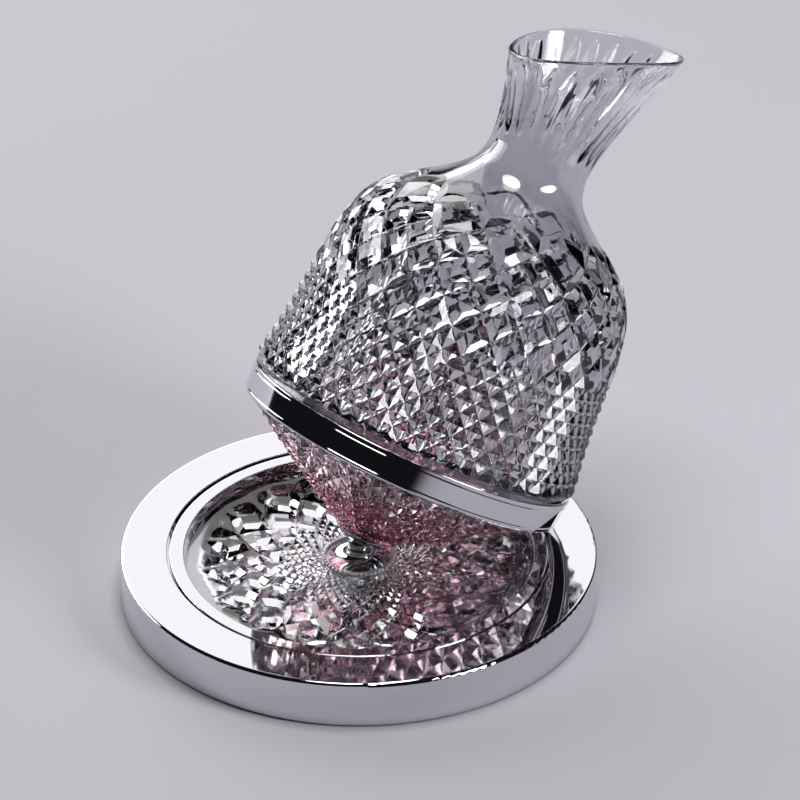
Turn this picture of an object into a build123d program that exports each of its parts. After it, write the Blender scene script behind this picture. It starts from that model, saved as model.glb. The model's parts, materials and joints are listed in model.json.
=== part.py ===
from build123d import *
import math
import os

# Rotating decanter: a cut-glass decanter that leans on a chromed tray, turns on a ball and rolls round.
# Lengths are millimetres and angles are degrees. Z is up, and the origin is the centre of the underside.

# Fits shared by all pieces
cut_overrun = 2.0
body_gap = 0.3
running_clearance = 0.05
axial_clearance = 0.1

# Tray: shell, bezel ring and glass insert
tray_radius = 120.0
tray_height = 25.0
tray_wall = 3.0
tray_edge_radius = 1.8
tray_lift = 0.6
rim_landing = 1.6
rim_edge_radius = 0.5
groove_width = 1.4
bezel_width = 7.0
bezel_drop = 0.6
bezel_wall = 4.2
bezel_taper = 1.4
bezel_edge_radius = 0.6
insert_depth = 5.9
insert_thickness = 6.0
insert_gasket_thickness = 1.5
insert_gasket_width = 20.0
insert_hole_gap = 1.0

# Tray: spigot, base plate, screws and pad
spigot_radius = 4.0
spigot_flange_radius = 7.0
spigot_flange_thickness = 1.2
spigot_tail_radius = 3.0
washer_thickness = 1.0
nut_flat_radius = 5.0
nut_thickness = 3.0
base_pad_thickness = 1.5
base_pad_margin = 3.0
base_plate_thickness = 2.0
screw_count = 4
screw_circle_radius = 60.0
screw_radius = 1.6
screw_head_radius = 3.2
screw_bite = 5.5
boss_radius = 5.0

# Pivot: ball, spindle, seat and foot
pivot_rise = 2.0
ball_radius = 5.5
spindle_radius = 3.0
seat_wall = 0.7
seat_floor = 1.5
seat_step = 0.2
cup_wall = 1.0
cup_web = 1.2
cup_drop = 2.8
foot_base_radius = 16.6
foot_base_thickness = 1.3
foot_gap = 0.4
foot_hub_wall = 2.2
foot_bush_wall = 1.15
bead_radius = 1.2
bead_pitch = 2.45
bead_ring_wall = 0.8
clip_width = 1.9
clip_thickness = 0.8
clip_groove_depth = 0.6
clip_opening_angle = 70.0
spindle_tip = 1.4

# Decanter: pose
lean_azimuth = 38.0
spout_azimuth = 10.1

# Decanter: waist band and seals
waist_radius = 85.0
band_rise = 50.0
band_height = 15.0
band_flare = 1.2
band_wall = 2.4
band_edge_radius = 1.2
band_line_offset = 2.4
band_line_depth = 0.35
band_line_width = 0.8
ledge_width = 6.1
ledge_thickness = 2.0
seal_thickness = 0.8
seal_flange = 1.0
glass_rim_wall = 4.8

# Decanter: lower glass and its nose
cone_inset = 0.6
cone_bulge = 1.2
cone_wall = 6.0
nose_height = 7.0
nose_radius = 15.3
nose_hole_radius = 8.0
nose_floor_height = 11.4
gasket_thickness = 0.5
ferrule_lip_height = 2.6
ferrule_lip_radius = 6.2
ferrule_bulge = 1.6
ferrule_stem_height = 17.0
recess_gap = 0.5
spindle_bush_wall = 1.55
bush_rise = 0.3
cap_wall = 3.5
cap_hollow = 3.6
cap_roof = 2.6

# Decanter: upper glass
collar_radius = 86.8
collar_rise = 5.4
body_height = 151.0
neck_radius = 26.2
body_wall = 6.0
neck_wall = 4.6
lip_wall = 2.8
flare_height = 60.3
mouth_radius = 42.0
mouth_front = 51.5
mouth_shift = 1.2
mouth_tilt = 22.2
mouth_crown_radius = 210.0
flare_power = 1.5
spout_power = 2.0

# Body outline above the band: shares of the body's height, and of the step from neck to collar radius
body_height_shares = (0.11, 0.232, 0.4, 0.563, 0.66, 0.74, 0.8, 0.855, 0.92)
body_radius_shares = (0.975, 0.932, 0.895, 0.835, 0.75, 0.59, 0.385, 0.19, 0.042)
inner_wall_shares = (0, 0.1, 0.25, 0.4, 0.55, 0.65, 0.75, 0.85, 0.93, 1)
spout_section_shares = (0, 0.3, 0.62, 1, 1.08)
spout_cut_shares = (0, 0.3, 0.62, 1, 1.12)

# Heights in the tray, from the rim down
bezel_top = tray_height - bezel_drop
insert_top = bezel_top - insert_depth
insert_low = insert_top - insert_thickness
well_floor = insert_low - insert_gasket_thickness
well_under = well_floor - tray_wall
plate_top = base_pad_thickness + base_plate_thickness
rim_under = tray_height - tray_wall

# The pivot's centre lies on the tray's axis, and the band's rounded edge rests a hair above the rim
pivot_height = tray_height + pivot_rise
edge_rise = band_rise + band_edge_radius
edge_reach = waist_radius - band_edge_radius
edge_drop = (body_gap + band_edge_radius - pivot_rise) / math.hypot(edge_rise, edge_reach)
lean_radians = math.atan2(edge_rise, edge_reach) - math.asin(edge_drop)
lean_angle = math.degrees(lean_radians)
rolling_radius = edge_rise * math.sin(lean_radians) + edge_reach * math.cos(lean_radians)

# Radii in the tray, from the rolling circle inwards
rim_inner_radius = rolling_radius - rim_landing
bezel_outer_radius = rim_inner_radius - groove_width
bezel_inner_radius = bezel_outer_radius - bezel_width
insert_radius = bezel_outer_radius - bezel_wall - body_gap
well_outer_radius = rim_inner_radius + tray_wall
plate_radius = tray_radius - tray_wall - body_gap

# Heights of the foot's stack
flange_top = well_floor + spigot_flange_thickness
washer_top = flange_top + washer_thickness
hub_low = washer_top + axial_clearance
foot_low = insert_top + foot_gap
cup_top = pivot_height - cup_drop
socket_floor = pivot_height - ball_radius - running_clearance - seat_floor
bush_top = socket_floor - cup_web
foot_bush_radius = spigot_radius + running_clearance + foot_bush_wall
hub_radius = foot_bush_radius + foot_hub_wall
ball_at_lip = math.sqrt((ball_radius + running_clearance) ** 2 - cup_drop ** 2)
seat_radius = ball_at_lip + seat_wall
socket_radius = seat_radius + running_clearance
cup_radius = socket_radius + cup_wall
insert_hole_radius = hub_radius + insert_hole_gap

# Radii and heights inside the waist band, measured along the decanter's axis from the pivot
band_top = band_rise + band_height
band_bore = waist_radius - band_wall
ledge_low = band_rise + (band_height - ledge_thickness) / 2
ledge_top = ledge_low + ledge_thickness
rim_outer_radius = band_bore - seal_thickness
rim_bore = rim_outer_radius - glass_rim_wall
upper_rim = ledge_top + seal_flange
lower_rim = ledge_low - seal_flange
cone_edge_radius = band_bore + cone_inset
cone_edge_height = band_rise - body_gap

# Heights in the nose
flange_seat = nose_height - gasket_thickness
cap_seat = nose_floor_height + gasket_thickness
bush_low = ball_radius + recess_gap + bush_rise
clip_low = ferrule_stem_height + body_gap
clip_top = clip_low + clip_thickness
spindle_top = clip_top + spindle_tip
ferrule_bore = spindle_radius + running_clearance + spindle_bush_wall
stem_radius = nose_hole_radius - body_gap
cap_radius = stem_radius + cap_wall
cap_inside_top = clip_low + cap_hollow
neck_height = band_top + body_height


def outline(*curves):
    """A flat face of (radius, height) curves, stood up in the XZ plane."""
    return Plane.XZ * make_face(Wire(curves))


def turned(*points):
    """A solid turned about Z from straight lines between (radius, height) points."""
    return revolve(outline(*Polyline(*points, close=True).edges()), Axis.Z)


def turned_curves(*curves):
    """A solid turned about Z from curves that close an outline."""
    return revolve(outline(*curves), Axis.Z)


def ring(outer, inner, low, high):
    """A plain ring about Z."""
    return turned((inner, low), (outer, low), (outer, high), (inner, high))


def disc(radius, low, high):
    """A plain disc about Z."""
    return Pos(0, 0, low) * Cylinder(radius, high - low, align=(Align.CENTER, Align.CENTER, Align.MIN))


def rim_edges(solid, radius, height):
    """The circular edges of a turned solid at one radius and height."""
    near = radius * 1e-6
    edges = solid.edges().filter_by(GeomType.CIRCLE)
    return [e for e in edges if abs(e.radius - radius) < near and abs(e.arc_center.Z - height) < near]


def on_circle(count, radius):
    """Places spaced evenly round Z."""
    return [Rot(0, 0, 360 * i / count) * Pos(radius, 0, 0) for i in range(count)]


def single(shape):
    """The one solid that a boolean leaves."""
    return shape.solids()[0]


def tray_shell():
    """Side wall, flat rim, sunk well with its floor, and bosses for the base screws."""
    side_bore = tray_radius - tray_wall
    shell = turned(
        (spigot_tail_radius, well_under),
        (well_outer_radius, well_under),
        (well_outer_radius, rim_under),
        (side_bore, rim_under),
        (side_bore, tray_lift),
        (tray_radius, tray_lift),
        (tray_radius, tray_height),
        (rim_inner_radius, tray_height),
        (rim_inner_radius, well_floor),
        (spigot_tail_radius, well_floor),
    )
    shell = fillet(rim_edges(shell, tray_radius, tray_height), tray_edge_radius)
    shell = fillet(rim_edges(shell, tray_radius, tray_lift), tray_edge_radius / 2)
    shell = fillet(rim_edges(shell, rim_inner_radius, tray_height), rim_edge_radius)
    for place in on_circle(screw_count, screw_circle_radius):
        shell += place * disc(boss_radius, plate_top, well_under)
        shell -= place * disc(screw_radius, plate_top - cut_overrun, base_pad_thickness + screw_bite)
    return single(shell)


def bezel_ring():
    """A collar that stands on the well floor, with a flange over the insert's edge."""
    flange_low = insert_top + body_gap
    collar_bore = bezel_outer_radius - bezel_wall
    bezel = turned(
        (collar_bore, well_floor),
        (bezel_outer_radius, well_floor),
        (bezel_outer_radius, bezel_top),
        (bezel_inner_radius, bezel_top),
        (bezel_inner_radius - bezel_taper, flange_low),
        (collar_bore, flange_low),
    )
    bezel = fillet(rim_edges(bezel, bezel_outer_radius, bezel_top), bezel_edge_radius)
    return single(fillet(rim_edges(bezel, bezel_inner_radius, bezel_top), bezel_edge_radius))


def base_plate():
    """The plate under the tray, countersunk for its screws."""
    plate = disc(plate_radius, base_pad_thickness, plate_top)
    sink = screw_head_radius - screw_radius
    for place in on_circle(screw_count, screw_circle_radius):
        plate -= place * disc(screw_radius, base_pad_thickness, plate_top)
        plate -= place * Pos(0, 0, base_pad_thickness) * screw_head(sink)
    return single(plate)


def screw_head(sink):
    """A countersunk cone that narrows upwards."""
    return Cone(screw_head_radius, screw_radius, sink, align=(Align.CENTER, Align.CENTER, Align.MIN))


def base_screws():
    """The countersunk screws, flush with the plate's underside."""
    sink = screw_head_radius - screw_radius
    top = base_pad_thickness + screw_bite
    screws = []
    for place in on_circle(screw_count, screw_circle_radius):
        shank = disc(screw_radius, base_pad_thickness, top)
        screws.append(single(place * (shank + Pos(0, 0, base_pad_thickness) * screw_head(sink))))
    return Compound(children=screws)


def centre_spigot():
    """The pin that the foot turns on, with a flange on the well floor and a tail for the nut."""
    tail_low = well_under - nut_thickness
    spigot = disc(spigot_tail_radius, tail_low, well_floor)
    spigot += disc(spigot_flange_radius, well_floor, flange_top)
    return single(spigot + disc(spigot_radius, flange_top, bush_top - body_gap))


def spigot_nut():
    """A hexagon nut under the well floor."""
    low = well_under - nut_thickness
    hexagon = RegularPolygon(nut_flat_radius, 6, major_radius=False)
    nut = extrude(Pos(0, 0, low) * hexagon, nut_thickness)
    return single(nut - disc(spigot_tail_radius, low - cut_overrun, well_under + cut_overrun))


def swivel_foot():
    """A hub on the spigot that opens into a trumpet foot and ends in a cup for the ball seat."""
    base_top = foot_low + foot_base_thickness
    flare = Bezier((foot_base_radius, base_top), (cup_radius, base_top), (cup_radius, cup_top))
    below = Polyline((cup_radius, cup_top), (0, cup_top), (0, hub_low), (hub_radius, hub_low),
                     (hub_radius, foot_low), (foot_base_radius, foot_low), (foot_base_radius, base_top))
    foot = turned_curves(flare, *below.edges())
    foot -= disc(foot_bush_radius, hub_low - cut_overrun, bush_top)
    foot -= disc(socket_radius, socket_floor, cup_top + cut_overrun)
    return single(foot)


def beaded_ring():
    """A ring of beads round the foot's edge."""
    bead_circle = foot_base_radius + bead_ring_wall
    count = round(2 * math.pi * bead_circle / bead_pitch)
    beads = [place * Pos(0, 0, foot_low + bead_radius) * Sphere(bead_radius)
             for place in on_circle(count, bead_circle)]
    band = ring(bead_circle, foot_base_radius, foot_low, foot_low + 2 * bead_radius)
    inside = disc(foot_base_radius, foot_low - cut_overrun, foot_low + 2 * bead_radius + cut_overrun)
    return single(band.fuse(*beads) - inside)


def ball_seat():
    """A plastic cup, hollowed to the ball."""
    seat = disc(seat_radius, socket_floor, cup_top - seat_step)
    return single(seat - Pos(0, 0, pivot_height) * Sphere(ball_radius + running_clearance))


def ball_stud():
    """The ball and its spindle, with a groove for the clip, upright about the pivot."""
    stud = Sphere(ball_radius) + disc(spindle_radius, 0, spindle_top)
    groove = ring(spindle_radius + cut_overrun, spindle_radius - clip_groove_depth, clip_low, clip_top)
    return single(stud - groove)


def spindle_clip():
    """An open snap ring in the spindle's groove."""
    inner = spindle_radius - clip_groove_depth
    clip = ring(inner + clip_width, inner, clip_low, clip_top)
    reach = (inner + clip_width) * 2
    side = math.radians(clip_opening_angle / 2)
    gap = Polyline((0, 0), (reach * math.cos(side), reach * math.sin(side)),
                   (reach * math.cos(side), -reach * math.sin(side)), close=True)
    return single(clip - extrude(Pos(0, 0, clip_low) * make_face(gap.edges()), clip_thickness))


def waist_band():
    """A flared band with a rounded lower edge, a line cut near each edge, and an inner ledge."""
    def face_radius(height):
        return waist_radius + band_flare * (height - band_rise) / band_height

    def line_cut(height):
        half = band_line_width / 2
        return [(face_radius(height - half), height - half),
                (face_radius(height) - band_line_depth, height),
                (face_radius(height + half), height + half)]

    ledge_bore = band_bore - ledge_width
    band = turned(
        (band_bore, band_rise),
        (waist_radius, band_rise),
        *line_cut(band_rise + band_line_offset),
        *line_cut(band_top - band_line_offset),
        (face_radius(band_top), band_top),
        (band_bore, band_top),
        (band_bore, ledge_top),
        (ledge_bore, ledge_top),
        (ledge_bore, ledge_low),
        (band_bore, ledge_low),
    )
    band = fillet(rim_edges(band, face_radius(band_top), band_top), band_edge_radius / 2)
    return single(fillet(rim_edges(band, waist_radius, band_rise), band_edge_radius))


def rim_seal(seat, rim, open_end):
    """An angle-section seal under a glass rim and up the band's bore."""
    return turned((rim_bore, seat), (band_bore, seat), (band_bore, open_end),
                  (rim_outer_radius, open_end), (rim_outer_radius, rim), (rim_bore, rim))


def lower_glass():
    """A thick cone, gently bulged, with a cylindrical rim in the band and a flat, bored nose."""
    rise = cone_edge_height - nose_height
    reach = cone_edge_radius - nose_radius
    slant = math.hypot(rise, reach)
    up, inward = cone_wall * reach / slant, cone_wall * rise / slant

    def inner_height(radius):
        return nose_height + up + (radius - nose_radius + inward) * rise / reach

    floor_radius = nose_radius - inward + (nose_floor_height - nose_height - up) * reach / rise
    floor_radius = max(floor_radius, cap_radius + body_gap)
    outside = SagittaArc((nose_radius, nose_height), (cone_edge_radius, cone_edge_height), -cone_bulge)
    rim = Polyline((cone_edge_radius, cone_edge_height), (rim_outer_radius, cone_edge_height),
                   (rim_outer_radius, lower_rim), (rim_bore, lower_rim), (rim_bore, inner_height(rim_bore)))
    floor_edge = (floor_radius, inner_height(floor_radius))
    inside = SagittaArc((rim_bore, inner_height(rim_bore)), floor_edge, cone_bulge)
    floor = Polyline(floor_edge, (floor_radius, nose_floor_height), (nose_hole_radius, nose_floor_height),
                     (nose_hole_radius, nose_height), (nose_radius, nose_height))
    return single(turned_curves(outside, *rim.edges(), inside, *floor.edges()))


def pivot_ferrule():
    """The nose: a rounded flange under the glass and a stem through it, hollowed over the ball."""
    dome = SagittaArc((ferrule_lip_radius, ferrule_lip_height), (nose_radius, flange_seat), -ferrule_bulge)
    stem = Polyline((nose_radius, flange_seat), (stem_radius, flange_seat),
                    (stem_radius, ferrule_stem_height), (0, ferrule_stem_height),
                    (0, ferrule_lip_height), (ferrule_lip_radius, ferrule_lip_height))
    ferrule = turned_curves(dome, *stem.edges())
    ferrule -= Sphere(ball_radius + recess_gap)
    return single(ferrule - disc(ferrule_bore, 0, ferrule_stem_height + cut_overrun))


def cap_nut():
    """A domed nut on the ferrule's stem that closes the bore against the drink."""
    dome_low = ferrule_stem_height + body_gap
    crown = Bezier((cap_radius, dome_low), (cap_radius, cap_inside_top + cap_roof),
                   (0, cap_inside_top + cap_roof))
    body = Polyline((0, cap_inside_top + cap_roof), (0, cap_seat), (cap_radius, cap_seat),
                    (cap_radius, dome_low))
    nut = turned_curves(crown, *body.edges())
    nut -= disc(ferrule_bore + clip_width, cap_seat, cap_inside_top)
    return single(nut - disc(stem_radius, cap_seat - cut_overrun, ferrule_stem_height + axial_clearance))


def body_curve():
    """The outer line of the upper glass from its collar to the neck."""
    step = collar_radius - neck_radius
    points = [(collar_radius, band_top + collar_rise)]
    for height_share, radius_share in zip(body_height_shares, body_radius_shares):
        points.append((neck_radius + step * radius_share, band_top + body_height * height_share))
    points.append((neck_radius, neck_height))
    return Spline(*points, tangents=[(0, 1), (0, 1)])


def body_inside_points(curve):
    """Points at the wall's thickness inside the outer line, thinner towards the neck."""
    points = []
    for share in inner_wall_shares:
        wall = body_wall + (neck_wall - body_wall) * share
        place, along = curve.position_at(share), curve.tangent_at(share)
        points.append((place.X - wall * along.Y, place.Y + wall * along.X))
    return points


def mouth_face(share, wall):
    """One section of the pouring neck: a half circle behind, two arcs that meet at the lip in front."""
    grown = max(share, 0) ** flare_power
    radius = neck_radius + (mouth_radius - neck_radius) * grown - wall
    front = radius + (mouth_front - mouth_radius) * share ** spout_power
    tilt = math.radians(mouth_tilt * grown)
    plane = Plane(origin=(mouth_shift * share ** spout_power, 0, neck_height + flare_height * share),
                  x_dir=(math.cos(tilt), 0, math.sin(tilt)), z_dir=(-math.sin(tilt), 0, math.cos(tilt)))
    arc_radius = (front ** 2 + radius ** 2) / (2 * radius)
    half_turn = math.atan2(front, arc_radius - radius) / 2
    side_x = arc_radius * math.sin(half_turn)
    side_y = radius - arc_radius * (1 - math.cos(half_turn))
    back = radius / math.sqrt(2)
    edges = [
        ThreePointArc((front, 0), (side_x, side_y), (0, radius)),
        ThreePointArc((0, radius), (-back, back), (-radius, 0)),
        ThreePointArc((-radius, 0), (-back, -back), (0, -radius)),
        ThreePointArc((0, -radius), (side_x, -side_y), (front, 0)),
    ]
    return plane * make_face(Wire(edges))


def spout(shares, wall_scale):
    """The flaring neck, lofted through its sections; the wall scale is 0 outside and 1 inside."""
    sections = []
    for share in shares:
        wall = neck_wall + (lip_wall - neck_wall) * share
        sections.append(mouth_face(share, wall * wall_scale))
    return loft(sections)


def mouth_crown():
    """A large cylinder across the mouth: its top rounds the lip down, in front and behind."""
    tilt = math.radians(mouth_tilt)
    centre = Pos(mouth_shift + mouth_crown_radius * math.sin(tilt), 0,
                 neck_height + flare_height - mouth_crown_radius * math.cos(tilt))
    return centre * Rot(90, 0, 0) * Cylinder(mouth_crown_radius, 4 * collar_radius)


def upper_glass():
    """The body, shoulder, neck and slanted pouring mouth, as one thick glass."""
    curve = body_curve()
    collar_low = band_top + body_gap
    collar = Polyline((0, neck_height), (0, upper_rim), (rim_outer_radius, upper_rim),
                      (rim_outer_radius, collar_low), (waist_radius, collar_low),
                      (collar_radius, band_top + collar_rise))
    shelf = Polyline((neck_radius, neck_height), (0, neck_height))
    outside = turned_curves(curve, *shelf.edges(), *collar.edges()) + spout(spout_section_shares, 0)

    points = body_inside_points(curve)
    wall_line = Spline(*points, tangents=[(0, 1), (0, 1)])
    core = Polyline(points[-1], (0, neck_height), (0, upper_rim - cut_overrun),
                    (rim_bore, upper_rim - cut_overrun), (rim_bore, collar_low), points[0])
    inside = turned_curves(wall_line, *core.edges()) + spout(spout_cut_shares, 1)
    return single((outside - inside) & mouth_crown())


def leaning(piece):
    """A piece modelled upright about the pivot, set in the resting, leaning pose."""
    azimuth = math.radians(lean_azimuth)
    centre = (0, 0, pivot_height)
    hinge = Axis(centre, (-math.sin(azimuth), math.cos(azimuth), 0))
    return (Pos(*centre) * Rot(0, 0, spout_azimuth) * piece).rotate(hinge, lean_angle)


upright_pieces = {
    "tray_shell": tray_shell(),
    "bezel_ring": bezel_ring(),
    "glass_insert": ring(insert_radius, insert_hole_radius, insert_low, insert_top),
    "insert_gasket": ring(insert_radius, insert_radius - insert_gasket_width, well_floor, insert_low),
    "centre_spigot": centre_spigot(),
    "spigot_nut": spigot_nut(),
    "thrust_washer": ring(spigot_flange_radius, spigot_radius + body_gap, flange_top, washer_top),
    "base_plate": base_plate(),
    "base_screws": base_screws(),
    "base_pad": disc(plate_radius - base_pad_margin, 0, base_pad_thickness),
    "swivel_foot": swivel_foot(),
    "beaded_ring": beaded_ring(),
    "foot_bush": ring(foot_bush_radius, spigot_radius + running_clearance, hub_low, bush_top),
    "ball_seat": ball_seat(),
}

leaning_pieces = {
    "ball_stud": ball_stud(),
    "spindle_clip": spindle_clip(),
    "upper_glass": upper_glass(),
    "lower_glass": lower_glass(),
    "waist_band": waist_band(),
    "upper_seal": rim_seal(ledge_top, upper_rim, band_top),
    "lower_seal": rim_seal(ledge_low, lower_rim, band_rise),
    "pivot_ferrule": pivot_ferrule(),
    "nose_gasket": ring(nose_radius, stem_radius, flange_seat, nose_height),
    "cap_gasket": ring(cap_radius, stem_radius, nose_floor_height, cap_seat),
    "cap_nut": cap_nut(),
    "spindle_bush": ring(ferrule_bore, spindle_radius + running_clearance, bush_low, ferrule_stem_height),
}

os.makedirs("parts", exist_ok=True)
for node, piece in upright_pieces.items():
    export_step(piece, f"parts/{node}.step")
for node, piece in leaning_pieces.items():
    export_step(leaning(piece), f"parts/{node}.step")
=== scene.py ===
# %% [markdown]
# # A rotating decanter in cut crystal and chrome
# The decanter leans on the rim of a chromed tray and rolls round on a ball joint in the middle.
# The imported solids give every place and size. This lesson adds what the eye sees: the cuts in the
# crystal, the mirror of the chrome, and the light. Everything is in metres, in the frame of the solids.

# %% Load the frame
import json
import math
import bmesh
import bpy
import numpy as np
from mathutils import Matrix, Vector
from mathutils.bvhtree import BVHTree


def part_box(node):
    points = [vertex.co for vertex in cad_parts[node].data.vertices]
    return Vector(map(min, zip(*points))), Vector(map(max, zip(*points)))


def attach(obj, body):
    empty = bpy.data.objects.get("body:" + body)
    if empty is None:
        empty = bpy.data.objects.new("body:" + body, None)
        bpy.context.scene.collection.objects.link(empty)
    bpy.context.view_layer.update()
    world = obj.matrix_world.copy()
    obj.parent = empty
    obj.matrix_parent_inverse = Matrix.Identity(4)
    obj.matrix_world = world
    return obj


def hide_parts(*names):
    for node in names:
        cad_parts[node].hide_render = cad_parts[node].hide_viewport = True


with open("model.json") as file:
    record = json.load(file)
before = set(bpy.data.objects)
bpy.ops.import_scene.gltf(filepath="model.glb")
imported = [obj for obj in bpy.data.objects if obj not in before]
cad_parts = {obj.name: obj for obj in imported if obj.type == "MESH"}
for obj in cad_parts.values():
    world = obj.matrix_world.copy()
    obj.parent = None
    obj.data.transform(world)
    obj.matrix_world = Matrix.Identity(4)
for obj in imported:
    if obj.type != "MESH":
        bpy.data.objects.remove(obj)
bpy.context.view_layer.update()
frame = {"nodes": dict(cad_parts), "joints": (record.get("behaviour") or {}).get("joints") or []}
mm = 0.001

# %% [markdown]
# ## Camera
# A long lens from well above the table, as for a catalogue picture. It looks at a point above the middle
# of the tray, and a shift of the sensor puts that point where it lies in the picture. A camera could also
# be aimed by eye or by a constraint, but an elevation, a distance and a shift can each be corrected alone.

# %% Camera
lens_angle = math.radians(10.0)
camera_elevation = math.radians(32.64)
camera_distance = 2.2795
camera_aim = Vector((0, 0, 60 * mm))
picture_width = 800
aim_pixel_x, aim_pixel_y = 358.77, 488.9

camera = bpy.data.objects.new("camera", bpy.data.cameras.new("camera"))
bpy.context.collection.objects.link(camera)
camera.location = camera_aim + camera_distance * Vector(
    (0, -math.cos(camera_elevation), math.sin(camera_elevation)))
camera.rotation_euler = (math.pi / 2 - camera_elevation, 0, 0)
camera.data.angle = lens_angle
camera.data.shift_x = 0.5 - aim_pixel_x / picture_width
camera.data.shift_y = aim_pixel_y / picture_width - 0.5
bpy.context.scene.camera = camera
print("camera at", [round(c, 3) for c in camera.location])

# %% [markdown]
# ## Nodes and colours
# Materials are small graphs. They could be drawn by hand in the node editor, but in code every number stays
# in sight. One function adds a node, sets it up and links it, and one function turns the sRGB hex colours
# that people write into the linear numbers that the renderer adds up.

# %% Helpers for materials
def to_linear(hex_colour):
    """An sRGB hex colour as linear red, green, blue and a full alpha."""
    channels = [int(hex_colour[i:i + 2], 16) / 255 for i in (1, 3, 5)]
    linear = [c / 12.92 if c <= 0.04045 else ((c + 0.055) / 1.055) ** 2.4 for c in channels]
    return (*linear, 1.0)


def add(tree, kind, values=None, links=None, **settings):
    """Adds one node: settings are its properties, values its sockets, links the outputs that feed them."""
    node = tree.nodes.new("ShaderNode" + kind)
    for name, value in settings.items():
        setattr(node, name, value)
    for socket, value in (values or {}).items():
        node.inputs[socket].default_value = value
    for socket, output in (links or {}).items():
        tree.links.new(output, node.inputs[socket])
    return node


def start_material(name, values):
    """A new material with one shader, whose even values sit on the shader's own sockets."""
    material = bpy.data.materials.new(name)
    material.use_nodes = True
    tree = material.node_tree
    tree.nodes.clear()
    shader = add(tree, "BsdfPrincipled", values)
    add(tree, "OutputMaterial", links={"Surface": shader.outputs["BSDF"]})
    return material, tree, shader


# %% [markdown]
# ## Floor and light
# Glass and chrome have hardly any colour of their own: they show the room. A pale floor, a few soft
# boxes and an otherwise dim room give both of them bright and dark shapes. Two small, strong boxes, one
# overhead and one at the right, light the floor and put the highlights on the glass. Broad, weaker
# panels behind the decanter are what the cuts catch and throw forward. The back box stands where the
# flat rim mirrors it. Nothing low stands at the front left, which the band mirrors, so the band is dark.
# A picture of a studio wrapped round the scene would light it too, but lamps can be moved one by one.

# %% Floor
floor_size = 14.0
half = floor_size / 2
floor_mesh = bpy.data.meshes.new("floor")
corners = [(-half, -half, 0), (half, -half, 0), (half, half, 0), (-half, half, 0)]
floor_mesh.from_pydata(corners, [], [(0, 1, 2, 3)])
floor = bpy.data.objects.new("floor", floor_mesh)
bpy.context.collection.objects.link(floor)

# Painted board gives the eye a quiet, pale ground with a hardly visible speckle.
painted_board, tree, shader = start_material("painted_board", {"Roughness": 0.75})
speck = add(tree, "TexNoise", {"Scale": 1 / (12 * mm), "Detail": 4.0})
tone = add(tree, "MixRGB", {"Color1": to_linear("#c5c2cb"), "Color2": to_linear("#cac7d0")},
           {"Fac": speck.outputs["Fac"]})
tree.links.new(tone.outputs["Color"], shader.inputs["Base Color"])
floor_mesh.materials.append(painted_board)
print("floor:", floor_size, "m square")


# %% Soft boxes
def soft_box(name, place, target, width, height, brightness):
    """An oval lamp that faces a target; a brightness of 1 shows as white in a mirror."""
    lamp = bpy.data.lights.new(name, "AREA")
    lamp.shape = "ELLIPSE"
    lamp.size, lamp.size_y = width, height
    lamp.energy = brightness * math.pi * width * height * math.pi / 4
    box = bpy.data.objects.new(name, lamp)
    box.location = place
    box.rotation_euler = (Vector(target) - Vector(place)).to_track_quat("-Z", "Y").to_euler()
    bpy.context.collection.objects.link(box)


middle = (0.04, 0.03, 0.13)
soft_box("right_box", (1.5, -0.7, 1.0), middle, 0.6, 1.0, 11.0)
soft_box("top_box", (0.1, 0.1, 2.2), middle, 1.0, 1.0, 8.6)
soft_box("back_box", (0.0, 2.25, 1.47), middle, 3.4, 1.7, 1.3)
soft_box("side_panel", (-2.28, 1.78, 1.2), middle, 2.7, 1.7, 3.6)
soft_box("low_panel", (-1.07, 2.53, 0.95), middle, 2.1, 1.3, 2.0)

world = bpy.data.worlds.new("dim_room")
bpy.context.scene.world = world
world.use_nodes = True
world.node_tree.nodes["Background"].inputs["Color"].default_value = to_linear("#8c8796")
world.node_tree.nodes["Background"].inputs["Strength"].default_value = 0.03

bpy.context.scene.view_settings.view_transform = "Standard"
bpy.context.scene.cycles.max_bounces = 24
bpy.context.scene.cycles.transmission_bounces = 20
bpy.context.scene.cycles.glossy_bounces = 8

# %% [markdown]
# ## The decanter's own axis
# The decanter leans, so it is easier to work upright, about its own axis, and to lean the finished
# piece. The spin joint of the solids gives the pivot and the axis, and the spout gives the zero of turn.

# %% Decanter axis
spin = next(joint for joint in frame["joints"] if joint["name"] == "decanter_spin")
pivot, axis = Vector(spin["pos_m"]), Vector(spin["axis"])
spout_azimuth = math.radians(10.1)
lean = Vector((0, 0, 1)).rotation_difference(axis).to_matrix().to_4x4()
decanter_place = Matrix.Translation(pivot) @ lean @ Matrix.Rotation(spout_azimuth, 4, "Z")
print("lean:", round(math.degrees(Vector((0, 0, 1)).angle(axis)), 2), "degrees")

# %% [markdown]
# ## Measuring the blank
# A glass cutter starts from a smooth blown blank and only takes glass away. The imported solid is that
# blank. Rays from the axis outwards meet its inner wall first and its outer wall last. The radii could be
# typed in again instead, but measured ones stay true when the solid changes.

# %% Rays through the blank
def blank_of(node, place):
    """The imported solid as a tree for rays, in the frame that place leads out of."""
    mesh = frame["nodes"][node].data
    back = place.inverted()
    return BVHTree.FromPolygons([back @ v.co for v in mesh.vertices], [p.vertices[:] for p in mesh.polygons])


def wall_distances(blank, start, direction):
    """How far along a ray each wall lies."""
    step_past = 0.01 * mm
    distances, travelled = [], 0.0
    while True:
        hit, _, _, step = blank.ray_cast(start + travelled * direction, direction)
        if hit is None:
            return distances
        travelled += step + step_past
        distances.append(travelled - step_past)


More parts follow.
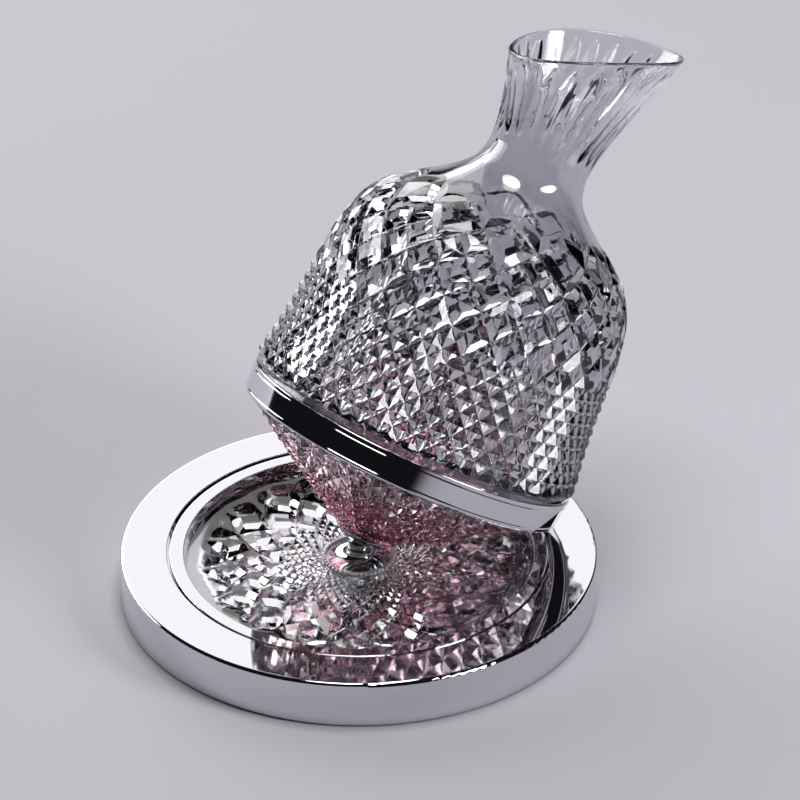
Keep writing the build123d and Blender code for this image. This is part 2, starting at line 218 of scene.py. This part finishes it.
def turned_walls(blank, heights):
    """Inner and outer radius of a turned blank at each height on its axis."""
    probe_angle = 1.7                         # any angle does, because a turned blank is round
    probe = Vector((math.cos(probe_angle), math.sin(probe_angle), 0))
    found = [wall_distances(blank, Vector((0, 0, h)), probe) for h in heights]
    return np.array([d[0] for d in found]), np.array([d[-1] for d in found])


upper_blank = blank_of("upper_glass", decanter_place)
lower_blank = blank_of("lower_glass", decanter_place)
body_height = 100 * mm
(body_bore,), (body_radius,) = turned_walls(upper_blank, [body_height])
print("upper blank, radii inside and outside:", round(body_bore / mm, 1), round(body_radius / mm, 1), "mm")

# %% [markdown]
# ## The diamond lattice
# Two families of V-shaped grooves wind round the glass, one to the left and one to the right, and cross
# the parallels at a steady angle. Between them stand diamonds. Close grooves leave sharp pyramids, and
# wider ones leave flat-topped lozenges with bevelled sides. Counted in groove spacings, a place has the
# numbers p and q, one for each family, so the cell that it lies in is a matter of rounding down.
# A bump in the material could hint at the cuts, but only real facets bend and throw light as crystal does.

# %% Cells of the lattice
fine = 4                                      # mesh steps between two neighbouring grooves
every_row, no_tips = -1000, 1000              # rows far below and far above any lattice


def cell_at(p, q, cells):
    """Low corner, size and bevel of the cell at (p, q). Each of cells is (size, lowest row, bevel)."""
    low_p, low_q, size, bevel = (np.zeros(p.shape) for _ in range(4))
    free = np.ones(p.shape, bool)
    for cell_size, lowest_row, cell_bevel in cells:
        corner_p, corner_q = cell_size * np.floor(p / cell_size), cell_size * np.floor(q / cell_size)
        here = free & (corner_p - corner_q >= lowest_row)
        low_p[here], low_q[here] = corner_p[here], corner_q[here]
        size[here], bevel[here] = cell_size, cell_bevel
        free &= ~here
    return low_p, low_q, size, bevel


def groove_share(p, q, cells, tip_row, run_out):
    """How deep the cut is at (p, q): 1 on a groove's line, 0 on uncut glass; cuts fade out at the tips."""
    low_p, low_q, size, bevel = cell_at(p, q, cells)
    below = np.minimum(p - low_p, low_q + size - q)
    above = np.minimum(low_p + size - p, q - low_q)
    distance = np.where(low_p - low_q >= tip_row, below, np.minimum(below, above))
    fade = np.clip((tip_row - (p - q)) / run_out, 0, 1)
    return np.clip(1 - distance / bevel, 0, 1) * fade


# %% [markdown]
# The lattice becomes rings of points, each shifted by half a step against the next. Every point is pushed
# into the glass by the depth of the cut there. Hundreds of wedge-shaped cutters could make the grooves too,
# but they are slow and leave slivers.

# %% Rings of the lattice
groove_angle = math.radians(48.9)
groove_slope = math.tan(math.radians(35.0))


def rows_along(radius, height, columns):
    """Row number at each point of an outline, for grooves that keep a steady angle to the parallels."""
    run = np.hypot(np.diff(radius), np.diff(height))
    between = (radius[1:] + radius[:-1]) / 2
    per_row = between * math.pi / columns * math.tan(groove_angle)
    return np.concatenate([[0], np.cumsum(run / per_row)])


def ring(angle, radius, height):
    """Points round the axis; radius and height are one value, or one for each angle."""
    return np.stack([radius * np.cos(angle), radius * np.sin(angle), height + 0 * angle], axis=1)


def lattice_rings(radius, height, columns, rows, cells, tip_row, run_out, turn, side=1):
    """Rings of points on a cut outline, from its first point up to the given number of rows."""
    row_at = rows_along(radius, height, columns)
    along_r, along_h = np.gradient(radius), np.gradient(height)
    length = np.hypot(along_r, along_h)
    out_r, out_h = side * along_h / length, -side * along_r / length
    rings = []
    for k in range(rows * fine + 1):
        row = k / fine
        column = (np.arange(columns * fine) + (k % 2) / 2) / fine
        share = groove_share(column + row / 2, column - row / 2, cells, tip_row, run_out)
        r, h, n_r, n_h = (np.interp(row, row_at, values) for values in (radius, height, out_r, out_h))
        half_cell = r * math.pi / columns * math.sin(groove_angle)
        depth = share * groove_slope * half_cell
        rings.append(ring(turn + column * math.tau / columns, r - depth * n_r, h - depth * n_h))
    return rings


# %% [markdown]
# Faces join the rings. Small lozenges of the mesh are split along the ridges of the diamonds, so every facet
# stays flat and every edge crisp. Split all one way, they would leave a saw's teeth along the ridges.

# %% Faces of the lattice
def lattice_faces(first, count, rows, cells):
    """Triangles between lattice rings whose points are numbered from first."""
    faces = []
    last = rows * fine
    for k in range(last + 1):
        odd = k % 2
        centre = (np.arange(count) + (odd + 1) / 2) / fine
        row = k / fine
        p, q = centre + row / 2, centre - row / 2
        low_p, low_q, size, _ = cell_at(p, q, cells)
        level = (p - low_p - size / 2) * (q - low_q - size / 2) > 0
        here = first + k * count
        for m in range(count):
            left, right = here + m, here + (m + 1) % count
            beside = (m + odd) % count
            top, bottom = here + count + beside, here - count + beside
            if k == 0:
                faces.append((left, right, top))
            elif k == last:
                faces.append((left, bottom, right))
            elif level[m]:
                faces += [(left, right, top), (left, bottom, right)]
            else:
                faces += [(bottom, right, top), (bottom, top, left)]
    return faces


def skin_faces(first, count, rings):
    """Quads between plain rings whose points are numbered from first."""
    faces = []
    for k in range(rings - 1):
        for m in range(count):
            a, b = first + k * count + m, first + k * count + (m + 1) % count
            faces.append((a, b, b + count, a + count))
    return faces


def closing_faces(last, count):
    """Quads from the last ring, whose points are numbered from last, back to the first ring."""
    return [(last + m, last + (m + 1) % count, (m + 1) % count, m) for m in range(count)]


# %% [markdown]
# A cut piece is one closed skin: plain rings before the cut, the lattice, and plain rings after it that
# lead round the inside and back to the start. Edges that turn by more than 25 degrees stay sharp, as
# between polished cuts, and everything else is shaded smooth, as blown glass is.

# %% Assemble a cut piece
facet_limit = math.radians(25.0)


def finished_piece(name, points, faces, place, body, node):
    """A mesh in its place, with its faces turned outwards, that rides on a body and stands for a node."""
    mesh = bpy.data.meshes.new(name)
    mesh.from_pydata(points.tolist(), [], faces)
    mesh.transform(place)
    skin = bmesh.new()
    skin.from_mesh(mesh)
    bmesh.ops.recalc_face_normals(skin, faces=skin.faces)
    skin.to_mesh(mesh)
    skin.free()
    mesh.shade_smooth()
    mesh.set_sharp_from_angle(angle=facet_limit)
    piece = bpy.data.objects.new(name, mesh)
    bpy.context.collection.objects.link(piece)
    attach(piece, body)
    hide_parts(node)
    print(name, len(mesh.vertices), "points,", len(mesh.polygons), "faces")
    return piece


def cut_piece(name, before, lattice, after, cells, place, body, node):
    """Joins rings to one closed mesh, sets it in its place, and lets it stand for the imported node."""
    count = len(lattice[0])
    rings = before + lattice + after
    points = np.concatenate(rings)
    start, end = len(before), len(before) + len(lattice) - 1
    faces = skin_faces(0, count, start + 1)
    faces += lattice_faces(start * count, count, (end - start) // fine, cells)
    faces += skin_faces(end * count, count, len(rings) - end)
    faces += closing_faces((len(rings) - 1) * count, count)
    return finished_piece(name, points, faces, place, body, node)


# %% [markdown]
# ## Upper glass
# Forty-eight columns of pyramids rise from the collar. Higher up every second groove ends, then again
# every second one, so the cells grow to lozenges and end on the shoulder in twelve large points. One column
# could be modelled and repeated, but the cells cross from column to column, so all are made at once.

# %% Upper glass: body
rim_low, collar_low, cut_low, neck_height = 59.5 * mm, 65.3 * mm, 70.4 * mm, 216 * mm
body_columns, body_rows = 48, 24
body_cells = [(4, 24, 1.0), (4, 20, 0.75), (2, 10, 0.5), (1, every_row, 0.5)]
body_run_out = 1.6
just_inside = 0.05 * mm
outline_points = 500
body_turn = math.radians(15.0)
all_round = body_turn + np.arange(body_columns * fine) * math.tau / (body_columns * fine)

outline_h = np.linspace(cut_low, neck_height, outline_points)
inner_r, outline_r = turned_walls(upper_blank, outline_h)
row_at = rows_along(outline_r, outline_h, body_columns)
tip_height = np.interp(body_rows, row_at, outline_h)
body_lattice = lattice_rings(outline_r, outline_h, body_columns, body_rows, body_cells, body_rows,
                             body_run_out, body_turn)

(rim_bore,), (rim_radius,) = turned_walls(upper_blank, [(rim_low + collar_low) / 2])
(_,), (collar_radius,) = turned_walls(upper_blank, [collar_low + just_inside])
collar_step = 1.2 * mm
collar_top_h = cut_low - collar_step
(_,), (collar_top_radius,) = turned_walls(upper_blank, [collar_top_h])
collar_rings = [
    ring(all_round, rim_bore, rim_low),
    ring(all_round, rim_radius, rim_low),
    ring(all_round, rim_radius, collar_low),
    ring(all_round, collar_radius, collar_low),
    ring(all_round, (collar_radius + collar_top_radius) / 2, (collar_low + collar_top_h) / 2),
    ring(all_round, collar_top_radius, collar_top_h),
]
print("points of the top cells at", round(tip_height / mm, 1), "mm, total rows", round(row_at[-1], 2))

# %% [markdown]
# ## Neck and pouring lip
# The neck opens into a slanted mouth with a pouring point. Twenty-four long leaf cuts run up it, each a
# V-shaped groove that is pointed at both ends, with a sharp ridge to the next one. The sections tilt as
# they rise, and each ends where the rays no longer meet the wall. Level sections would be cut off slantwise
# by the mouth and leave a ragged lip.

# %% Rays and cuts of the spout
flare_height, mouth_tilt, mouth_shift = 60.3 * mm, math.radians(22.2), 1.2 * mm
flute_count, flute_depth = 24, 2.2 * mm
flute_start_share, flute_end_share = 0.10, 0.95
tilt_growth, shift_growth = 1.5, 2            # how late on the way up the mouth tilts and shifts
neck_steps, spout_steps, lip_steps, halvings = 14, 44, 8, 14
lowest_lip_share, highest_lip_share = 0.8, 1.1
inner_stride = 8                              # every eighth point of the outline is enough inside


def spout_ray(share, angle):
    """Start and direction of a ray in the tilted section at a share of the way from neck to mouth."""
    tilt = mouth_tilt * share ** tilt_growth
    start = Vector((mouth_shift * share ** shift_growth, 0, neck_height + flare_height * share))
    sideways = Vector((math.cos(tilt), 0, math.sin(tilt)))
    return start, math.cos(angle) * sideways + math.sin(angle) * Vector((0, 1, 0))


def lip_share(angle):
    """The highest section whose ray still meets both walls, found by halving."""
    low, high = lowest_lip_share, highest_lip_share
    for _ in range(halvings):
        middle_share = (low + high) / 2
        if len(wall_distances(upper_blank, *spout_ray(middle_share, angle))) >= 2:
            low = middle_share
        else:
            high = middle_share
    return low


def flute_cut(share, angle):
    """Depth of the leaf cuts: V-shaped grooves that narrow to a point at both ends."""
    rise = (share - flute_start_share) / (flute_end_share - flute_start_share)
    half_width = math.sqrt(max(math.sin(math.pi * min(max(rise, 0), 1)), 0)) / 2
    across = abs((angle * flute_count / math.tau) % 1 - 1 / 2)
    return flute_depth * max(half_width - across, 0) * 2


# %% [markdown]
# The spout is measured section by section, and the leaf cuts are taken off its outer wall. The lip rounds
# over from the outer wall to the inner one, and plain rings lead down the inside to the rim. All of it is
# one skin with the body, because light that crosses a hidden joint would bend there and show it.

# %% Upper glass: neck, spout and lip
neck_h = np.linspace(tip_height, neck_height, neck_steps + 1)[1:-1]
_, neck_out = turned_walls(upper_blank, neck_h)
neck_rings = [ring(all_round, r, h) for r, h in zip(neck_out, neck_h)]

lip_shares = [lip_share(angle) for angle in all_round]
lip_round = 1.2 * mm / flare_height
spout_out, spout_in = [], []
for step in range(spout_steps + 1):
    outside, inside = [], []
    for angle, top in zip(all_round, lip_shares):
        share = (top - lip_round) * step / spout_steps
        start, direction = spout_ray(share, angle)
        walls = wall_distances(upper_blank, start, direction)
        outside.append(start + direction * (walls[-1] - flute_cut(step / spout_steps, angle)))
        inside.append(start + direction * walls[0])
    spout_out.append(np.array(outside))
    spout_in.append(np.array(inside))

lip_out, lip_in = spout_out[-1], spout_in[-1]
lip_rise = np.array([spout_ray(top, 0)[0] - spout_ray(top - lip_round, 0)[0] for top in lip_shares])
lip_turns = [math.pi * n / lip_steps for n in range(1, lip_steps)]
lip_rings = [lip_out * (1 + math.cos(t)) / 2 + lip_in * (1 - math.cos(t)) / 2 + lip_rise * math.sin(t)
             for t in lip_turns]
inner_rings = [ring(all_round, r, h)
               for r, h in zip(inner_r[-2::-inner_stride], outline_h[-2::-inner_stride])]
inside_rings = spout_in[::-1] + inner_rings + [ring(all_round, rim_bore, collar_low)]
upper_glass = cut_piece(
    "cut_upper_glass", collar_rings, body_lattice,
    neck_rings + spout_out + lip_rings + inside_rings,
    body_cells, decanter_place, "decanter", "upper_glass")

# %% [markdown]
# ## Lower glass
# The cone below the band carries thirty-two columns of pyramids down to its nose, where they become as
# fine as sugar. Its inside is smooth. The lattice is the same as above, with one size of cell throughout.

# %% Lower glass
nose_height, floor_height, edge_height, lower_rim = 7.0 * mm, 11.4 * mm, 49.7 * mm, 55.5 * mm
cone_columns = 32
cone_cells = [(1, every_row, 0.5)]
nose_land, edge_land, inside_land = 0.3 * mm, 0.4 * mm, 0.1 * mm
rim_probe, inside_drop = 1 * mm, 1.5 * mm
cone_points, inside_points = 300, 40
cone_h = np.linspace(nose_height + nose_land, edge_height - edge_land, cone_points)
_, cone_out = turned_walls(lower_blank, cone_h)
cone_rows = int(rows_along(cone_out, cone_h, cone_columns)[-1])
cone_lattice = lattice_rings(cone_out, cone_h, cone_columns, cone_rows, cone_cells, no_tips, 1, body_turn)
cone_round = body_turn + np.arange(cone_columns * fine) * math.tau / (cone_columns * fine)

(nose_bore,), (nose_radius,) = turned_walls(lower_blank, [nose_height + just_inside])
(low_bore,), (low_rim_radius,) = turned_walls(lower_blank, [lower_rim - rim_probe])
(_,), (edge_radius,) = turned_walls(lower_blank, [edge_height - just_inside])
inside_h = np.linspace(lower_rim - inside_drop, floor_height + inside_land, inside_points)
inside_r, _ = turned_walls(lower_blank, inside_h)
cone_before = [
    ring(cone_round, nose_bore, floor_height),
    ring(cone_round, nose_bore, nose_height),
    ring(cone_round, nose_radius, nose_height),
]
cone_after = [
    ring(cone_round, edge_radius, edge_height),
    ring(cone_round, low_rim_radius, edge_height),
    ring(cone_round, low_rim_radius, lower_rim),
    ring(cone_round, low_bore, lower_rim),
] + [ring(cone_round, r, h) for r, h in zip(inside_r, inside_h)]
lower_glass = cut_piece("cut_lower_glass", cone_before, cone_lattice, cone_after, cone_cells,
                        decanter_place, "decanter", "lower_glass")

# %% [markdown]
# ## Glass insert
# The plate in the tray is cut with the same crossing grooves, laid flat: here they are spirals that
# keep their angle to the circles. Fine pyramids near the foot grow to lozenges, and the outer grooves
# run out in a ring of points before a smooth margin.

# %% Glass insert
insert_low, insert_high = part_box("glass_insert")
insert_radius, insert_top, insert_bottom = insert_high.x, insert_high.z, insert_low.z
hole_radius = 8.4 * mm
insert_columns, insert_rows = 36, 18
tip_radius = 81 * mm
insert_cells = [(2, 18, 1.0), (2, 12, 0.5), (1, every_row, 0.5)]
insert_run_out = 1.2
hub_land_share, past_tips_share = 0.93, 1.001
plate_points = 600
insert_turn = math.radians(-3.5)
start_radius = tip_radius * math.exp(-insert_rows * math.pi / insert_columns * math.tan(groove_angle))
plate_r = np.linspace(start_radius, tip_radius * past_tips_share, plate_points)
plate_h = np.full(plate_r.shape, insert_top)
insert_lattice = lattice_rings(plate_r, plate_h, insert_columns, insert_rows, insert_cells, insert_rows,
                               insert_run_out, insert_turn, side=-1)
plate_round = insert_turn + np.arange(insert_columns * fine) * math.tau / (insert_columns * fine)
edge_round = 0.5 * mm
insert_piece = cut_piece(
    "cut_glass_insert",
    [ring(plate_round, hole_radius, insert_bottom), ring(plate_round, hole_radius, insert_top),
     ring(plate_round, start_radius * hub_land_share, insert_top)],
    insert_lattice,
    [ring(plate_round, (tip_radius + insert_radius) / 2, insert_top),
     ring(plate_round, insert_radius - edge_round, insert_top),
     ring(plate_round, insert_radius, insert_top - edge_round),
     ring(plate_round, insert_radius, insert_bottom)],
    insert_cells, Matrix.Identity(4), "tray", "glass_insert")

# %% [markdown]
# ## Gasket under the insert
# The insert lies on a flat ring of clear silicone. A ring like this is moulded with rounded edges. It is
# drawn a hair thinner than the gap that it fills, because two faces in one plane confuse the renderer.

# %% Insert gasket
def turned_piece(name, profile, count, place, body, node):
    """Spins a closed profile of (radius, height) points round the axis."""
    turn = np.arange(count) * math.tau / count
    points = np.concatenate([ring(turn, r, h) for r, h in profile])
    faces = skin_faces(0, count, len(profile)) + closing_faces((len(profile) - 1) * count, count)
    return finished_piece(name, points, faces, place, body, node)


def rounded_section(inner, outer, low, high, edge):
    """Corners of a ring's section, each rounded by a quarter circle."""
    corners = [(inner, low, 1, 1, 180), (outer, low, -1, 1, 270),
               (outer, high, -1, -1, 0), (inner, high, 1, -1, 90)]
    return [(r + edge * (in_r + math.cos(math.radians(start + step))),
             h + edge * (in_h + math.sin(math.radians(start + step))))
            for r, h, in_r, in_h, start in corners for step in (0, 30, 60, 90)]


gasket_low, gasket_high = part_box("insert_gasket")
air = 0.04 * mm
gasket_width, gasket_edge, gasket_columns = 20 * mm, 0.3 * mm, 160
gasket_section = rounded_section(gasket_high.x - gasket_width, gasket_high.x,
                                 gasket_low.z + air, gasket_high.z - air, gasket_edge)
gasket = turned_piece("moulded_insert_gasket", gasket_section, gasket_columns, Matrix.Identity(4),
                      "tray", "insert_gasket")

# %% [markdown]
# ## Crystal
# Cut crystal is a dense flint glass. It bends and mirrors light more than window glass does, and that is
# where the sparkle comes from. Cut faces are polished on a wheel and in acid, which leaves them bright but
# never quite flat: a very shallow ripple of a few millimetres makes their reflections swim a little. It is
# a bump in the material, because it is far too shallow for the mesh.
# The blown body is faintly grey in its depth, as if a little smoke was melted in. The cast plate is clearer.

# %% Crystal
def crystal_finish(name, depth_colour, density):
    """Polished crystal: the shader, a shallow ripple in its surface, and the colour of a thick wall."""
    material, tree, shader = start_material(name, {"Roughness": 0.0, "IOR": 1.66, "Transmission Weight": 1.0})
    ripple = add(tree, "TexNoise", {"Scale": 1 / (9 * mm), "Detail": 1.0})
    edge = add(tree, "Bevel", {"Radius": 0.2 * mm}, samples=4)
    wave = add(tree, "Bump", {"Strength": 0.08, "Distance": 0.1 * mm},
               {"Height": ripple.outputs["Fac"], "Normal": edge.outputs["Normal"]})
    tree.links.new(wave.outputs["Normal"], shader.inputs["Normal"])
    depth = add(tree, "VolumeAbsorption", {"Color": to_linear(depth_colour), "Density": density})
    tree.links.new(depth.outputs["Volume"], tree.nodes["Material Output"].inputs["Volume"])
    return material, tree, shader


def clear_crystal(name, density):
    """Clear crystal with faint streaks from the melt; the density says how grey its depth is."""
    material, tree, shader = crystal_finish(name, "#c8c8cc", density)
    streak = add(tree, "TexNoise", {"Scale": 1 / (30 * mm)})
    clear = add(tree, "MixRGB", {"Color1": to_linear("#f2f2f6"), "Color2": to_linear("#fafafc")},
                {"Fac": streak.outputs["Fac"]})
    tree.links.new(clear.outputs["Color"], shader.inputs["Base Color"])
    return material


blown_crystal = clear_crystal("wheel_polished_crystal", 95.0)
cast_crystal = clear_crystal("cast_polished_crystal", 25.0)
print("clear crystals:", blown_crystal.name, cast_crystal.name)

# %% [markdown]
# The cone is flashed: a blower lays a thin skin of ruby glass on the clear gather. It is thickest at
# the nose and thins out towards the band, so the colour runs from ruby to a faint rose. It could be painted
# on the mesh, but the height along the axis already says how thick the skin is.

# %% Rose-flashed crystal
rose_crystal, tree, shader = crystal_finish("rose_flashed_crystal", "#d2aab8", 12.0)
where = add(tree, "TexCoord")
height = add(tree, "VectorMath", {1: axis}, {0: where.outputs["Object"]}, operation="DOT_PRODUCT")
base_height = pivot.dot(axis)
climb = add(tree, "MapRange", {"From Min": base_height + 8 * mm, "From Max": base_height + 52 * mm},
            {"Value": height.outputs["Value"]})
rose = add(tree, "MixRGB", {"Color1": to_linear("#da899e"), "Color2": to_linear("#faf0f3")},
           {"Fac": climb.outputs["Result"]})
tree.links.new(rose.outputs["Color"], shader.inputs["Base Color"])

crystals = ((upper_glass, blown_crystal), (insert_piece, cast_crystal), (lower_glass, rose_crystal))
for piece, finish in crystals:
    piece.data.materials.append(finish)
    print(finish.name, "on", piece.name)

# %% [markdown]
# ## Chrome
# The tray, the band and the foot are brass, polished to a mirror and chromed. The polishing leaves very
# faint clouds, which are set in the gloss and not in the colour, since a mirror has no stains. The well
# under the glass insert is chromed too, so the cuts show twice, in the glass and in the mirror below it.

# %% Chrome
def dress(material, *nodes):
    """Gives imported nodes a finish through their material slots."""
    for node in nodes:
        slots = frame["nodes"][node].data.materials
        slots.clear()
        slots.append(material)
    print(material.name, "on", ", ".join(nodes))


chrome, tree, shader = start_material(
    "polished_chrome", {"Base Color": to_linear("#d9d9dd"), "Metallic": 1.0})
cloud = add(tree, "TexNoise", {"Scale": 1 / (25 * mm), "Detail": 3.0})
haze = add(tree, "MapRange", {"To Min": 0.025, "To Max": 0.065}, {"Value": cloud.outputs["Fac"]})
tree.links.new(haze.outputs["Result"], shader.inputs["Roughness"])
dress(chrome, "tray_shell", "bezel_ring", "swivel_foot", "waist_band", "pivot_ferrule", "cap_nut")

# %% [markdown]
# The ring of beads round the foot is chromed as well, but beads can't be buffed one by one. They are tumbled,
# which leaves a softer gloss, so that each bead catches a small, broad highlight. Its colour is also painted
# lighter than the polished chrome: a painted highlight that lifts the beads out of the shade under the cone.

# %% Tumbled chrome
# The base colour is lighter than the polished chrome's, a painted highlight on beads that lie in shade.
tumbled_chrome_painted_lighter, tree, shader = start_material(
    "tumbled_chrome_painted_lighter", {"Base Color": to_linear("#e3e3e7"), "Metallic": 1.0})
dent = add(tree, "TexNoise", {"Scale": 1 / (1.5 * mm), "Detail": 2.0})
softness = add(tree, "MapRange", {"To Min": 0.24, "To Max": 0.36}, {"Value": dent.outputs["Fac"]})
tree.links.new(softness.outputs["Result"], shader.inputs["Roughness"])
dress(tumbled_chrome_painted_lighter, "beaded_ring")

# %% [markdown]
# ## Working parts
# Little of the works shows, but the decanter lifts off and turns over, so each piece has the finish of
# its own material. The shapes of the solids are right, so only their materials change. Turned stainless
# steel keeps fine tool marks, which blur its gloss unevenly.

# %% Turned stainless steel
steel, tree, shader = start_material(
    "turned_stainless_steel", {"Base Color": to_linear("#bdbcba"), "Metallic": 1.0})
tool_mark = add(tree, "TexNoise", {"Scale": 1 / (0.8 * mm), "Detail": 3.0})
gloss = add(tree, "MapRange", {"To Min": 0.16, "To Max": 0.32}, {"Value": tool_mark.outputs["Fac"]})
tree.links.new(gloss.outputs["Result"], shader.inputs["Roughness"])
dress(steel, "centre_spigot", "spigot_nut", "base_screws", "ball_stud", "spindle_clip")

# %% [markdown]
# The bushes are sintered bronze: powder pressed and baked, with oil in the pores. The real pores are a
# tenth of a millimetre, and are drawn four times as coarse so that they show at all.

# %% Sintered bronze
bronze, tree, shader = start_material("sintered_bronze", {"Metallic": 1.0, "Roughness": 0.42})
pore = add(tree, "TexVoronoi", {"Scale": 1 / (0.4 * mm)})
grain = add(tree, "MixRGB", {"Color1": to_linear("#7d5c36"), "Color2": to_linear("#b58a57")},
            {"Fac": pore.outputs["Distance"]})
pit = add(tree, "Bump", {"Strength": 0.3, "Distance": 0.05 * mm}, {"Height": pore.outputs["Distance"]})
tree.links.new(grain.outputs["Color"], shader.inputs["Base Color"])
tree.links.new(pit.outputs["Normal"], shader.inputs["Normal"])
dress(bronze, "foot_bush", "spindle_bush")

# %% [markdown]
# The ball seat and the thrust washer are acetal, a milky, slippery plastic. The seals are clear
# silicone, soft and slightly cloudy, so that they nearly vanish beside the glass.

# %% Acetal and silicone
acetal, tree, shader = start_material("turned_acetal", {"Roughness": 0.34, "IOR": 1.48})
milk = add(tree, "TexNoise", {"Scale": 1 / (3 * mm), "Detail": 2.0})
shade = add(tree, "MixRGB", {"Color1": to_linear("#e6e4de"), "Color2": to_linear("#f0eee9")},
            {"Fac": milk.outputs["Fac"]})
tree.links.new(shade.outputs["Color"], shader.inputs["Base Color"])
dress(acetal, "thrust_washer", "ball_seat")

silicone, tree, shader = start_material(
    "moulded_clear_silicone", {"Base Color": to_linear("#e9e8ea"), "IOR": 1.41, "Transmission Weight": 1.0})
bloom = add(tree, "TexNoise", {"Scale": 1 / (2 * mm), "Detail": 2.0})
cloudy = add(tree, "MapRange", {"To Min": 0.02, "To Max": 0.1}, {"Value": bloom.outputs["Fac"]})
tree.links.new(cloudy.outputs["Result"], shader.inputs["Roughness"])
dress(silicone, "upper_seal", "lower_seal", "nose_gasket", "cap_gasket")
gasket.data.materials.append(silicone)

# %% [markdown]
# Underneath, the base plate is sheet steel with black stoving paint, whose skin has the fine swell of
# an orange peel. The pad is moulded rubber with a sanded grain that grips the table.

# %% Painted plate and rubber pad
paint, tree, shader = start_material(
    "stoved_black_paint", {"Base Color": to_linear("#202023"), "Roughness": 0.38})
peel = add(tree, "TexNoise", {"Scale": 1 / (1.6 * mm), "Detail": 1.0})
swell = add(tree, "Bump", {"Strength": 0.2, "Distance": 0.05 * mm}, {"Height": peel.outputs["Fac"]})
tree.links.new(swell.outputs["Normal"], shader.inputs["Normal"])
dress(paint, "base_plate")

rubber, tree, shader = start_material("moulded_rubber", {"Roughness": 0.78})
sand = add(tree, "TexNoise", {"Scale": 1 / (0.7 * mm), "Detail": 3.0})
worn = add(tree, "MixRGB", {"Color1": to_linear("#161618"), "Color2": to_linear("#262629")},
           {"Fac": sand.outputs["Fac"]})
grip = add(tree, "Bump", {"Strength": 0.5, "Distance": 0.1 * mm}, {"Height": sand.outputs["Fac"]})
tree.links.new(worn.outputs["Color"], shader.inputs["Base Color"])
tree.links.new(grip.outputs["Normal"], shader.inputs["Normal"])
dress(rubber, "base_pad")
